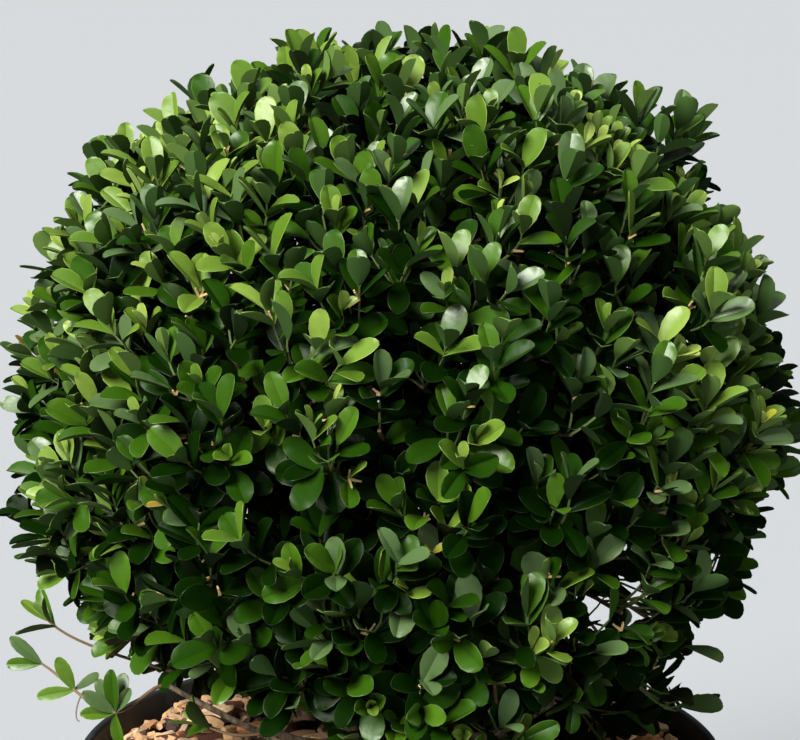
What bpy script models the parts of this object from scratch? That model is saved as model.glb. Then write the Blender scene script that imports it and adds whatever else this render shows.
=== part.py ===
"""A Japanese holly clipped to a ball, growing in a round nursery pot that is topped with wood chips.

The pot stands on z = 0 with its axis on Z. The crown is a ball of foliage carried by several boughs: a
clipped upper mass, a looser skirt of foliage round its foot, and one shoot that trails over the pot's rim.
Foliage follows one rule everywhere: shoots run out from the middle of the crown to points spread evenly
over the ball, and carry leaves in opposite pairs, each pair turned a right angle from the one below.
Units are metres, +Z up, and the trailing shoot points along -X.
"""

import math
import random

import bmesh
import bpy
from mathutils import Matrix, Vector, noise
from mathutils.bvhtree import BVHTree

UP = Vector((0, 0, 1))
GAP = 0.0003

# Pot: a moulded container of about 17 litres. Its wall steps inwards under the shoulder, so that pots stack.
POT_SIDES = 32
POT_HEIGHT = 0.270
LIP_RADIUS = 0.1655
LIP_WIDTH = 0.0052
LIP_DEPTH = 0.013
SHOULDER_DEPTH = 0.048
SHOULDER_STEP = 0.0022
FOOT_RADIUS = 0.124
FOOT_CHAMFER = 0.004
WALL = 0.0026
FLOOR_THICKNESS = 0.003
DRAIN_HOLES = 8
DRAIN_RADIUS = 0.0065
DRAIN_CIRCLE = 0.094

# What fills it: compost up to the ground level, then a bed of chips with loose ones on top.
GROUND = POT_HEIGHT - 0.031
CHIP_BED = 0.011
CHIP_COUNT = 30
CHIP_LENGTH = (0.024, 0.046)
CHIP_WIDTH = (0.010, 0.019)
CHIP_THICKNESS = (0.004, 0.007)
CHIPS_BELOW_RIM = 0.008

# Crown. Heights with no unit are shares of the ball's radius, from its middle.
BALL_RADIUS = 0.197
CENTRE = Vector((0, 0, POT_HEIGHT + 0.185))
SWELL = 0.024
RIPPLE = 0.018
BELLY_START = -0.55
BELLY = 1.0
BELLY_SHIFT = 0.25
CORE_RADIUS = 0.735 * BALL_RADIUS
CORE_LUMPS = 0.05
CORE_UNDERSIDE = -0.46
SKIRT_TOP = -0.64
SPACE_MARGIN = 0.0006

# Stem and boughs.
STEM_HEIGHT = 0.078
STEM_RADIUS = 0.0105
STEM_TAPER = 0.22
STEM_FLARE = 0.0075
FLARE_HEIGHT = 0.009
STEM_LEAN = Vector((0.006, -0.004))
BOUGH_SIDES = 7
BOUGH_RADIUS = 0.0050
BOUGH_TAPER = 0.72
BOUGH_RISE = math.radians(48)
BOUGH_LEVELS = (0.62, 0.87, 0.68, 0.93, 0.78)
LOW_BOUGH_RADIUS = 0.0036
LOW_BOUGH_TAPER = 0.62
LOW_BOUGH_RISE = math.radians(12)
LOW_BOUGH_LEVELS = (0.36, 0.46)

# Foliage. Most leaves stand for a small spray each, so they are larger than life. A pair is the share of
# its shoot's length at which it stands, how far it spreads from the shoot, and its size.
GOLDEN_ANGLE = math.pi * (3 - math.sqrt(5))
LEAF_LENGTH = 0.052
LEAF_WIDTH = 0.62
LEAF_KEEL = 0.034
LEAF_CUP = 0.07
LEAF_SINK = 0.0006
LEAF_TRIES = 16
BALL_SHOOTS = 82
SHOOT_ROOT = 0.66
SHOOT_END = 0.875
SHOOT_LIFT = 0.16
SHOOT_RADIUS = 0.0021
SHOOT_TAPER = 0.6
BALL_PAIRS = ((0.58, 1.12, 1.0), (0.95, 0.75, 0.74), (1.0, 0.15, 0.55))
SKIRTS = 5
SKIRT_SHOOTS = 6
SKIRT_ROWS = (-0.71, -0.93)
SKIRT_REACH = 0.88
SKIRT_PAIRS = ((0.55, 1.05, 0.84), (0.96, 0.60, 0.76))

# The trailing shoot, whose leaves are their true size, and the twig that turns off it.
TRUE_LEAF_LENGTH = 0.0215
SPRIG_BEARING = math.radians(204)
SPRIG_LEVEL = 0.27
SPRIG_ROOT = Vector((-0.115, -0.034, 0.316))
SPRIG_TIP = Vector((-0.176, -0.038, 0.330))
SPRIG_SIDE_TIP = Vector((-0.150, -0.054, 0.309))
SPRIG_SAG = 0.008
SPRIG_PAIRS = ((0.42, 1.10, 0.90), (0.78, 0.95, 0.95), (0.99, 0.60, 1.0))
SPRIG_SIDE_PAIRS = ((0.55, 1.10, 0.95), (0.99, 0.65, 1.0))

COLOURS = {
    "pot": ((0.035, 0.040, 0.044), 0.42),
    "compost": ((0.045, 0.028, 0.018), 0.95),
    "wood_chips": ((0.52, 0.33, 0.17), 0.80),
    "bark": ((0.20, 0.145, 0.085), 0.85),
    "foliage": ((0.060, 0.155, 0.030), 0.45),
}


# Objects and plain shapes. A shape is its points and its faces.


def material(name):
    """The Principled material of this name, made the first time that it is asked for."""
    found = bpy.data.materials.get(name)
    if found:
        return found
    colour, roughness = COLOURS[name]
    made = bpy.data.materials.new(name)
    made.use_nodes = True
    shader = made.node_tree.nodes["Principled BSDF"]
    shader.inputs["Base Color"].default_value = (*colour, 1)
    shader.inputs["Roughness"].default_value = roughness
    made.diffuse_color = (*colour, 1)
    return made


def add_object(name, shape, finish, smooth_angle=None):
    points, faces = shape
    mesh = bpy.data.meshes.new(name)
    mesh.from_pydata([tuple(p) for p in points], [], faces)
    mesh.materials.append(material(finish))
    if smooth_angle is not None:
        mesh.shade_smooth()
        mesh.set_sharp_from_angle(angle=math.radians(smooth_angle))
    obj = bpy.data.objects.new(name, mesh)
    bpy.context.scene.collection.objects.link(obj)
    return obj


def add_cutter(name, shape):
    cutter = add_object(name, shape, "bark")
    cutter.hide_render = True
    cutter.display_type = "WIRE"
    return cutter


def cut_by(obj, cutter):
    cut = obj.modifiers.new("clear_of_" + cutter.name, "BOOLEAN")
    cut.operation = "DIFFERENCE"
    cut.object = cutter
    cut.solver = "EXACT"


def join(name, base, pieces, finish):
    """One closed solid, made from a base and the pieces that stand in it."""
    body = add_object(name, base, finish)
    parts = bpy.data.collections.new(name + "_parts")
    bpy.context.scene.collection.children.link(parts)
    for i, (points, faces) in enumerate(pieces):
        mesh = bpy.data.meshes.new(f"{name}_part_{i}")
        mesh.from_pydata([tuple(p) for p in points], [], faces)
        parts.objects.link(bpy.data.objects.new(mesh.name, mesh))
    union = body.modifiers.new("union", "BOOLEAN")
    union.operation = "UNION"
    union.operand_type = "COLLECTION"
    union.collection = parts
    union.solver = "MANIFOLD"
    graph = bpy.context.evaluated_depsgraph_get()
    joined = bpy.data.meshes.new_from_object(body.evaluated_get(graph))
    body.modifiers.clear()
    body.data = joined
    joined.materials.clear()
    joined.materials.append(material(finish))
    for obj in list(parts.objects):
        bpy.data.objects.remove(obj, do_unlink=True)
    bpy.data.collections.remove(parts)


def ring(radius, height, sides):
    turns = (math.tau * i / sides for i in range(sides))
    return [Vector((radius * math.cos(turn), radius * math.sin(turn), height)) for turn in turns]


def turned(profile, sides):
    """A closed solid of revolution. The profile runs up the outside and back down the inside, as radius and
    height, and starts and ends on the axis."""
    points, rings = [], []
    for radius, height in profile:
        added = ring(radius, height, sides if radius else 1)
        rings.append([len(points) + i % len(added) for i in range(sides)])
        points += added
    faces = []
    for low, high in zip(rings, rings[1:]):
        for i in range(sides):
            j = (i + 1) % sides
            faces.append(list(dict.fromkeys((low[i], low[j], high[j], high[i]))))
    return points, faces


def tube(path, radii, sides):
    """A limb with flat ends, whose rings stay untwisted along the path."""
    points, faces = [], []
    across = (path[1] - path[0]).orthogonal()
    for i, (place, radius) in enumerate(zip(path, radii)):
        along = (path[min(i + 1, len(path) - 1)] - path[max(i - 1, 0)]).normalized()
        across = (across - along * across.dot(along)).normalized()
        other = along.cross(across)
        points += [place + across * p.x + other * p.y for p in ring(radius, 0, sides)]
    last = (len(path) - 1) * sides
    for i in range(0, last, sides):
        for k in range(sides):
            a, b = i + k, i + (k + 1) % sides
            faces.append([a, b, b + sides, a + sides])
    faces.append(list(range(sides - 1, -1, -1)))
    faces.append(list(range(last, last + sides)))
    return points, faces


def tapered(start, end, count):
    return [start + (end - start) * i / (count - 1) for i in range(count)]


def bezier(start, leave, arrive, end, steps):
    """A cubic curve from start to end, which leaves towards one handle and arrives from the other."""
    path = []
    for i in range(steps + 1):
        t = i / steps
        s = 1 - t
        path.append(s**3 * start + 3 * s * s * t * leave + 3 * s * t * t * arrive + t**3 * end)
    return path


def level(bearing):
    """The level direction at this bearing from +X."""
    return Vector((math.cos(bearing), math.sin(bearing), 0))


# Pot and filling


def wall_radius(height):
    """Outer radius of the plain tapering wall, without its lip or its step."""
    top = LIP_RADIUS - LIP_WIDTH + WALL
    return FOOT_RADIUS + (top - FOOT_RADIUS) * height / POT_HEIGHT


def inner_radius(height):
    step = SHOULDER_STEP if height < POT_HEIGHT - SHOULDER_DEPTH else 0
    return wall_radius(height) - step - WALL


def make_pot():
    shoulder = POT_HEIGHT - SHOULDER_DEPTH
    collar = POT_HEIGHT - LIP_DEPTH
    bead_radius = LIP_WIDTH / 2
    bead_middle = LIP_RADIUS - bead_radius
    outside = [
        (0, 0),
        (FOOT_RADIUS - SHOULDER_STEP - FOOT_CHAMFER, 0),
        (wall_radius(FOOT_CHAMFER) - SHOULDER_STEP, FOOT_CHAMFER),
        (wall_radius(shoulder) - SHOULDER_STEP, shoulder - SHOULDER_STEP),
        (wall_radius(shoulder), shoulder),
        (wall_radius(collar), collar),
        (LIP_RADIUS, collar + bead_radius / 2),
    ]
    bead = []
    for turn in tapered(0, math.pi, 5):
        across, up = bead_radius * math.cos(turn), bead_radius * math.sin(turn)
        bead.append((bead_middle + across, POT_HEIGHT - bead_radius + up))
    inside = [
        (inner_radius(shoulder), shoulder),
        (inner_radius(shoulder) - SHOULDER_STEP, shoulder - SHOULDER_STEP),
        (inner_radius(FLOOR_THICKNESS), FLOOR_THICKNESS),
        (0, FLOOR_THICKNESS),
    ]
    pot = add_object("pot", turned(outside + bead + inside, POT_SIDES), "pot", 30)
    for i in range(DRAIN_HOLES):
        place = level(math.tau * (i + 0.5) / DRAIN_HOLES) * DRAIN_CIRCLE
        path = [place - UP * WALL, place + UP * (FLOOR_THICKNESS + WALL)]
        cut_by(pot, add_cutter(f"drain_drill_{i + 1}", tube(path, [DRAIN_RADIUS] * 2, 8)))


def make_compost():
    """Everything inside the pot up to the chips, a gap clear of its wall."""
    shoulder = POT_HEIGHT - SHOULDER_DEPTH
    floor = FLOOR_THICKNESS + GAP
    profile = [
        (0, floor),
        (inner_radius(floor) - GAP, floor),
        (inner_radius(shoulder) - SHOULDER_STEP - GAP, shoulder - SHOULDER_STEP + GAP),
        (inner_radius(shoulder) - GAP, shoulder + GAP),
        (inner_radius(GROUND) - GAP, GROUND),
        (0, GROUND),
    ]
    add_object("compost", turned(profile, POT_SIDES), "compost", 30)


def chip(draw, place, length, width, thickness):
    """A split piece of wood: a block whose corners are all a little out of true."""
    corners = []
    for z in (-0.5, 0.5):
        for x, y in ((-0.5, -0.5), (0.5, -0.5), (0.5, 0.5), (-0.5, 0.5)):
            wide, long = draw.uniform(0.55, 1.0), draw.uniform(0.8, 1.0)
            corners.append(Vector((x * length * long, y * width * wide, z * thickness)))
    turn = Matrix.Rotation(draw.uniform(0, math.tau), 3, "Z")
    roll = Matrix.Rotation(draw.uniform(-0.28, 0.28), 3, "X")
    pitch = Matrix.Rotation(draw.uniform(-0.2, 0.2), 3, "Y")
    points = [place + turn @ roll @ pitch @ corner for corner in corners]
    return points, [[3, 2, 1, 0], [4, 5, 6, 7], [0, 1, 5, 4], [1, 2, 6, 5], [2, 3, 7, 6], [3, 0, 4, 7]]


def make_wood_chips():
    """A bed of chips with a hole for the stem, and loose pieces lying on it in every direction."""
    draw = random.Random(11)
    low = GROUND + GAP
    top = low + CHIP_BED
    outer = inner_radius(low) - GAP
    hole = STEM_RADIUS + STEM_FLARE + 0.006
    section = ((hole, low), (outer, low), (outer, top), (hole, top))
    points = [point for radius, height in section for point in ring(radius, height, POT_SIDES)]
    faces = []
    for k in range(len(section)):
        a, b = k * POT_SIDES, (k + 1) % len(section) * POT_SIDES
        for i in range(POT_SIDES):
            j = (i + 1) % POT_SIDES
            faces.append([a + i, a + j, b + j, b + i])
    chips = []
    for i in range(CHIP_COUNT):
        length = draw.uniform(*CHIP_LENGTH)
        thickness = draw.uniform(*CHIP_THICKNESS)
        nearest = hole + length / 2 + GAP * 10
        furthest = outer - length / 2 - GAP * 10
        reach = nearest + (furthest - nearest) * math.sqrt((i + 0.5) / CHIP_COUNT)
        place = level(i * GOLDEN_ANGLE) * reach + UP * (top + thickness * 0.2)
        chips.append(chip(draw, place, length, draw.uniform(*CHIP_WIDTH), thickness))
    join("wood_chips", (points, faces), chips, "wood_chips")


# Stem and boughs


def stem_point(share):
    """A point on the stem's axis, from its foot at 0 to its fork at 1."""
    lean = STEM_LEAN * share**2
    return Vector((lean.x, lean.y, GROUND + GAP + STEM_HEIGHT * share))


def stem_radius(share):
    flare = STEM_FLARE * math.exp(-share * STEM_HEIGHT / FLARE_HEIGHT)
    return STEM_RADIUS * (1 - STEM_TAPER * share) + flare


def stem_shape(clearance=0):
    shares = (0, 0.05, 0.12, 0.25, 0.45, 0.7, 1 + clearance / STEM_HEIGHT)
    return tube(list(map(stem_point, shares)), [stem_radius(share) + clearance for share in shares], 14)


def bough_path(share, bearing, rise, end, steps=6):
    """A bough leaves the stem at a share of its height, rises at this angle, and bends up to its end."""
    start = stem_point(share)
    reach = (end - start).length
    leave = start + (level(bearing) * math.cos(rise) + UP * math.sin(rise)) * reach * 0.4
    arrive = end - (end - CENTRE + UP * BALL_RADIUS * 1.1).normalized() * reach * 0.35
    return bezier(start, leave, arrive, end, steps)


def carry_on(path, middle, arrive, end, steps):
    """The run of a mass's stem on from its bough's tip, square to the cut so that the gap there is even."""
    heading = (path[-1] - path[-2]).normalized()
    start = path[-1] + heading * GAP
    straight = start + heading * GAP * 10
    return [start] + bezier(straight, straight + heading * middle, arrive, end, steps)


def make_boughs(core_clearance):
    """Boughs to the ball, low ones to the skirts and one to the trailing shoot. It returns the paths of the
    low ones and of the last, and all of the limbs' shapes, for the foliage to keep clear of."""
    stem_clearance = add_cutter("stem_clearance", stem_shape(GAP))
    limbs = []
    for k, share in enumerate(BOUGH_LEVELS):
        bearing = math.radians(25) + k * math.tau / len(BOUGH_LEVELS)
        end = CENTRE + (level(bearing) * (0.36 if k else 0.20) - UP * 0.36) * BALL_RADIUS
        path = bough_path(share, bearing, BOUGH_RISE, end)
        limbs.append((f"bough_{k + 1}", path, BOUGH_RADIUS, BOUGH_TAPER))
    low_paths = []
    for k in range(SKIRTS):
        bearing = math.tau * k / SKIRTS
        end = CENTRE + (level(bearing) * 0.40 - UP * 0.80) * BALL_RADIUS
        path = bough_path(LOW_BOUGH_LEVELS[k % 2], bearing, LOW_BOUGH_RISE, end)
        low_paths.append(path)
        limbs.append((f"low_bough_{k + 1}", path, LOW_BOUGH_RADIUS, LOW_BOUGH_TAPER))
    sprig_path = bough_path(SPRIG_LEVEL, SPRIG_BEARING, LOW_BOUGH_RISE, SPRIG_ROOT, 8)
    limbs.append(("sprig_bough", sprig_path, LOW_BOUGH_RADIUS * 0.72, 0.5))

    shapes = []
    for name, path, thick, taper in limbs:
        radii = tapered(thick, thick * taper, len(path))
        bough = add_object(name, tube(path, radii, BOUGH_SIDES), "bark", 50)
        cut_by(bough, stem_clearance)
        cut_by(bough, core_clearance)
        shapes.append(tube(path, [radius + SPACE_MARGIN for radius in radii], BOUGH_SIDES))
    return low_paths, sprig_path, shapes


# Foliage


def leaf(root, along, face, length, clearance=0.0):
    """A spoon-shaped leaf of eight faces: blunt at its tip, cupped, with a keel under its midrib."""
    side = face.cross(along).normalized()
    half = length * LEAF_WIDTH / 2 + clearance
    cup = LEAF_CUP * length

    def at(share, across, lift):
        reach = length * share + clearance * (share - 0.3)
        return root + along * reach + side * across * half + face * lift

    points = [
        root,
        at(0.50, -1.0, cup),
        at(0.95, -0.55, cup * 0.3),
        at(0.95, 0.55, cup * 0.3),
        at(0.50, 1.0, cup),
        at(0.50, 0.0, -LEAF_KEEL * length - clearance),
    ]
    return points, [[0, 1, 2], [0, 2, 3], [0, 3, 4], [1, 0, 5], [2, 1, 5], [3, 2, 5], [4, 3, 5], [0, 4, 5]]


class Crowd:
    """What has grown so far, so that a new leaf can be kept clear of every other shoot and every limb."""

    def __init__(self, shapes=()):
        self.grown = []
        for shape in shapes:
            self.add(shape, None)

    def measure(self, shape):
        points, faces = shape
        middle = sum(points, Vector()) / len(points)
        reach = max((p - middle).length for p in points)
        return middle, reach, BVHTree.FromPolygons(points, faces)

    def add(self, shape, owner):
        self.grown.append((owner, *self.measure(shape)))

    def touches(self, shape, owner):
        middle, reach, tree = self.measure(shape)
        for other, place, size, grown in self.grown:
            near = (middle - place).length < reach + size
            if near and (other is None or other != owner) and tree.overlap(grown):
                return True
        return False


def grow_leaves(draw, crowd, shoot, pairs, length, in_space):
    """The leaves of one shoot. Each is turned and tilted by as much as it needs to miss its neighbours, and
    left out if it still touches one. A pair that hardly spreads is the single leaf that ends the shoot."""
    owner, start, end = shoot
    along = (end - start).normalized()
    twist = draw.uniform(0, math.pi)
    grown = []
    for i, (share, spread, size) in enumerate(pairs):
        place = start.lerp(end, share)
        for half_turn in (0, math.pi) if spread > 0.3 else (0,):
            for attempt in range(LEAF_TRIES):
                slack = 0.2 + 0.07 * attempt
                turn = twist + half_turn + i * math.pi / 2 + draw.uniform(-slack, slack)
                tilt = spread + draw.uniform(-slack, slack) * 0.6
                outward = Matrix.Rotation(turn, 3, along) @ along.orthogonal().normalized()
                direction = along * math.cos(tilt) + outward * math.sin(tilt)
                face = along * math.sin(tilt) - outward * math.cos(tilt)
                reach = length * size * draw.uniform(0.9, 1.08)
                room = leaf(place, direction, face, reach, SPACE_MARGIN)
                if in_space(room[0]) and not crowd.touches(room, owner):
                    made = leaf(place - direction * LEAF_SINK, direction, face, reach)
                    crowd.add(made, owner)
                    grown.append(made)
                    break
    return grown


def tip_radius(direction):
    """How far the clipped surface lies from the crown's middle: nearly even, with low swells, but hanging
    fuller than a ball at its foot on the +X side."""
    swell = SWELL * noise.noise(direction * 2.3 + Vector((4.1, 0.3, 7.7)))
    ripple = RIPPLE * noise.noise(direction * 7.0)
    belly = BELLY * max(0, BELLY_START - direction.z) * max(0, direction.x + BELLY_SHIFT)
    return BALL_RADIUS * (1 + swell + ripple + belly)


def towards(bearing, height):
    """The direction at this bearing that reaches this height on a ball of radius 1."""
    return level(bearing) * math.sqrt(1 - height * height) + UP * height


def core_shape(clearance=0.0):
    """The twiggy middle of the clipped ball, too dense to see into, and nearly flat beneath."""
    made = bmesh.new()
    bmesh.ops.create_icosphere(made, subdivisions=2, radius=1)
    underside = CORE_UNDERSIDE * BALL_RADIUS - clearance
    points = []
    for vert in made.verts:
        lump = 1 + CORE_LUMPS * noise.noise(vert.co * 3.1)
        place = vert.co * (CORE_RADIUS * lump + clearance)
        if place.z < underside:
            place.z = underside + (place.z - underside) * 0.06
        points.append(CENTRE + place)
    faces = [[vert.index for vert in face.verts] for face in made.faces]
    made.free()
    return points, faces


def make_ball_foliage():
    draw = random.Random(29)
    crowd = Crowd()

    def in_space(points):
        return all(p.z > CENTRE.z + SKIRT_TOP * BALL_RADIUS + SPACE_MARGIN for p in points)

    shoots, twigs = [], []
    for i in range(BALL_SHOOTS):
        lowest = SKIRT_TOP - 0.04
        direction = towards(i * GOLDEN_ANGLE, lowest + (0.995 - lowest) * (i + 0.5) / BALL_SHOOTS)
        inward = (direction - UP * SHOOT_LIFT).normalized()
        inward.z = max(inward.z, (CORE_UNDERSIDE + 0.12) / SHOOT_ROOT)
        start = CENTRE + inward * BALL_RADIUS * SHOOT_ROOT
        end = CENTRE + direction * SHOOT_END * tip_radius(direction) * draw.uniform(0.985, 1.02)
        twig = tube([start, end], [SHOOT_RADIUS, SHOOT_RADIUS * SHOOT_TAPER], 3)
        if in_space(twig[0]):
            crowd.add(twig, i)
            shoots.append((i, start, end))
            twigs.append(twig)
    leaves = []
    for shoot in shoots:
        leaves += grow_leaves(draw, crowd, shoot, BALL_PAIRS, LEAF_LENGTH, in_space)
    join("ball_foliage", core_shape(), twigs + leaves, "foliage")


def in_skirt_space(points, bearing):
    """Inside this skirt's own wedge under the ball, clear of its neighbours, the chips and the pot's lip."""
    half = math.pi / SKIRTS
    walls = (level(bearing - half + math.pi / 2), level(bearing + half - math.pi / 2))
    ceiling = CENTRE.z + SKIRT_TOP * BALL_RADIUS - SPACE_MARGIN
    for p in points:
        over_chips = math.hypot(p.x, p.y) < LIP_RADIUS - 2 * LIP_WIDTH
        ground = POT_HEIGHT - CHIPS_BELOW_RIM if over_chips else POT_HEIGHT + 0.003
        if not ground < p.z < ceiling or any(p.dot(wall) < SPACE_MARGIN for wall in walls):
            return False
    return True


def make_skirt_foliage(number, path, in_the_way):
    """Open foliage with no core. Its stem carries on from its low bough, and each shoot leaves that stem."""
    draw = random.Random(100 + number)
    bearing = math.tau * (number - 1) / SKIRTS
    end = CENTRE + (level(bearing) * 0.68 + UP * (SKIRT_TOP - 0.06)) * BALL_RADIUS
    arrive = end - (level(bearing) + UP * 0.6).normalized() * 0.012
    way = carry_on(path, 0.012, arrive, end, 4)
    thick = LOW_BOUGH_RADIUS * LOW_BOUGH_TAPER
    stem = tube(way, tapered(thick, thick * 0.55, len(way)), 5)
    limbs, crowd = Crowd(in_the_way), Crowd(in_the_way)

    def in_space(points):
        return in_skirt_space(points, bearing)

    shoots, twigs = [], []
    for i, height in enumerate(height for height in SKIRT_ROWS for _ in range(SKIRT_SHOOTS)):
        side = (i % SKIRT_SHOOTS + 0.5) / SKIRT_SHOOTS - 0.5
        direction = towards(bearing + side * math.tau / SKIRTS * 0.98, height + draw.uniform(-0.02, 0.02))
        root = way[2 + (i * 2) % 3]
        tip = CENTRE + direction * tip_radius(direction) * SKIRT_REACH
        twig = tube([root, tip], [thick * SHOOT_TAPER, thick * SHOOT_TAPER**2], 3)
        if in_space(twig[0]) and not limbs.touches(twig, None):
            crowd.add(twig, i)
            shoots.append((i, root, tip))
            twigs.append(twig)
    leaves = []
    for shoot in shoots:
        leaves += grow_leaves(draw, crowd, shoot, SKIRT_PAIRS, LEAF_LENGTH, in_space)
    join(f"skirt_foliage_{number}", stem, twigs + leaves, "foliage")


def make_sprig_foliage(path):
    """The one shoot that has escaped the shears and trails over the rim, with a short twig off it. It returns
    its shapes, for its neighbours to keep clear of."""
    draw = random.Random(7)
    thick = LOW_BOUGH_RADIUS * 0.36
    way = carry_on(path, 0.02, SPRIG_TIP + Vector((0.02, 0, -SPRIG_SAG)), SPRIG_TIP, 6)
    stem = tube(way, tapered(thick, thick * 0.5, len(way)), 5)
    fork = way[3]
    leave = fork.lerp(SPRIG_SIDE_TIP, 0.3) + UP * 0.002
    side_way = bezier(fork, leave, SPRIG_SIDE_TIP + UP * 0.004, SPRIG_SIDE_TIP, 4)
    twig = tube(side_way, tapered(thick * 0.6, thick * 0.4, len(side_way)), 3)
    crowd = Crowd()
    leaves = []
    for run, pairs in ((way, SPRIG_PAIRS), (side_way, SPRIG_SIDE_PAIRS)):
        for share, spread, size in pairs:
            position = share * (len(run) - 1)
            i = int(position)
            place = run[i].lerp(run[i + 1], position - i)
            shoot = (len(leaves), place, place + run[i + 1] - run[i])
            pair = ((0, spread, size),)
            leaves += grow_leaves(draw, crowd, shoot, pair, TRUE_LEAF_LENGTH, lambda points: True)
    join("sprig_foliage", stem, [twig] + leaves, "foliage")
    return [stem, twig] + leaves


def build():
    for obj in list(bpy.data.objects):
        bpy.data.objects.remove(obj, do_unlink=True)
    make_pot()
    make_compost()
    make_wood_chips()
    add_object("stem", stem_shape(), "bark", 40)
    core_clearance = add_cutter("core_clearance", core_shape(GAP * 1.6))
    low_paths, sprig_path, limbs = make_boughs(core_clearance)
    make_ball_foliage()
    in_the_way = limbs + make_sprig_foliage(sprig_path)
    for k, path in enumerate(low_paths):
        make_skirt_foliage(k + 1, path, in_the_way)


build()
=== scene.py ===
"""A Japanese holly clipped to a ball, in a round nursery pot topped with wood chips: how it looks.

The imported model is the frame, in metres with +Z up, and every piece stands where a CAD node does. The foliage
grows by the rule of the part's source, carried to finer twigs: shoots run out from the boughs to points that
are spread evenly over the ball, and carry leaves in opposite pairs, each a right angle from the one below.
"""

import math
import random

import bpy
import numpy as np
from mathutils import Matrix, Vector, noise
from mathutils.kdtree import KDTree


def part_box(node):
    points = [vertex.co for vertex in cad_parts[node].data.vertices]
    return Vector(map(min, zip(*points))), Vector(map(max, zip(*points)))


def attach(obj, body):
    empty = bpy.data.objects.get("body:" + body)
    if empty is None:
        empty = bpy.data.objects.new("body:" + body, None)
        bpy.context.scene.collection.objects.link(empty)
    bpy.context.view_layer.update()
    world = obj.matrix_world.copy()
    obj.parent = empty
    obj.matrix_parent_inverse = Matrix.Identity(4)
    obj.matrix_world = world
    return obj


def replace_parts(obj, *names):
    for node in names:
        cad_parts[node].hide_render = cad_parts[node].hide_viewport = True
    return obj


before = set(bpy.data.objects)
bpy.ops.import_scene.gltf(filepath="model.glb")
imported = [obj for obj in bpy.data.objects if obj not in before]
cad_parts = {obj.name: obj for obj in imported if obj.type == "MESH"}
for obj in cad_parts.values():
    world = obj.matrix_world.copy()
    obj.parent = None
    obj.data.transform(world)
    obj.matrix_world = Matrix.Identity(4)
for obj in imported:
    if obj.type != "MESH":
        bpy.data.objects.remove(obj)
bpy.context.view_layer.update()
bpy.ops.object.select_all(action="DESELECT")


# Pot: a container of about 17 litres, moulded in charcoal polypropylene. Its wall tapers, and steps in under
# the shoulder so that pots stack. The rim is rolled to a bead, and eight holes drain the floor.
POT_SIDES = 128
POT_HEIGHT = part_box("pot")[1].z
LIP_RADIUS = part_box("pot")[1].x
LIP_WIDTH = 0.0052
LIP_DEPTH = 0.013
SHOULDER = POT_HEIGHT - 0.048
SHOULDER_STEP = 0.0022
FOOT_RADIUS = 0.124
FOOT_ROUND = 0.004
WALL = 0.0026
FLOOR_THICKNESS = 0.003
DRAIN_HOLES = 8
DRAIN_RADIUS = 0.0065
DRAIN_CIRCLE = 0.094
DRAIN_SIDES = 32
CHARCOAL = (0.0150, 0.0170, 0.0185, 1)
CHARCOAL_WORN = (0.0400, 0.0440, 0.0470, 1)
POT_DUST = (0.115, 0.098, 0.080, 1)


def wall_radius(height):
    """Outer radius of the plain tapering wall, without its lip or its step."""
    top = LIP_RADIUS - LIP_WIDTH + WALL
    return FOOT_RADIUS + (top - FOOT_RADIUS) * height / POT_HEIGHT


def inner_radius(height):
    step = SHOULDER_STEP if height < SHOULDER else 0
    return wall_radius(height) - step - WALL


def arc(middle_radius, middle_height, radius, start, end, steps):
    """Points of a profile round a corner, from one angle to another in degrees, as radius and height."""
    turns = [math.radians(start + (end - start) * i / steps) for i in range(steps + 1)]
    return [(middle_radius + radius * math.cos(t), middle_height + radius * math.sin(t)) for t in turns]


def pot_profile():
    collar = POT_HEIGHT - LIP_DEPTH
    bead = LIP_WIDTH / 2
    foot = wall_radius(FOOT_ROUND) - SHOULDER_STEP
    outside = arc(foot - FOOT_ROUND, FOOT_ROUND, FOOT_ROUND, -90, 0, 5)
    for share in (0.25, 0.5, 0.75, 0.98):
        height = SHOULDER * share
        outside.append((wall_radius(height) - SHOULDER_STEP, height))
    outside.append((wall_radius(SHOULDER) - SHOULDER_STEP, SHOULDER - SHOULDER_STEP))
    outside.append((wall_radius(SHOULDER) - SHOULDER_STEP * 0.3, SHOULDER - SHOULDER_STEP * 0.3))
    outside.append((wall_radius(SHOULDER), SHOULDER + SHOULDER_STEP * 0.4))
    outside.append((wall_radius(collar), collar - WALL / 2))
    outside.append((wall_radius(collar) + WALL / 2, collar - WALL / 8))
    rim = arc(LIP_RADIUS - bead, collar + bead, bead, -70, 0, 4)
    rim += arc(LIP_RADIUS - bead, POT_HEIGHT - bead, bead, 0, 180, 10)
    inside = [
        (inner_radius(SHOULDER), SHOULDER + SHOULDER_STEP * 0.4),
        (inner_radius(SHOULDER) - SHOULDER_STEP, SHOULDER - SHOULDER_STEP),
        (inner_radius(FLOOR_THICKNESS), FLOOR_THICKNESS + FOOT_ROUND / 2),
        (inner_radius(FLOOR_THICKNESS) - FOOT_ROUND / 2, FLOOR_THICKNESS),
    ]
    return outside + rim + inside


def extrude_through(profile):
    """Extrudes the selected disc, whose radius and height start the profile, through the rest of it."""
    radius, height = profile[0]
    for next_radius, next_height in profile[1:]:
        rise = {"value": (0, 0, next_height - height)}
        bpy.ops.mesh.extrude_region_move(TRANSFORM_OT_translate=rise)
        share = next_radius / radius
        bpy.ops.transform.resize(value=(share, share, 1), center_override=(0, 0, next_height))
        radius, height = next_radius, next_height


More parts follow.
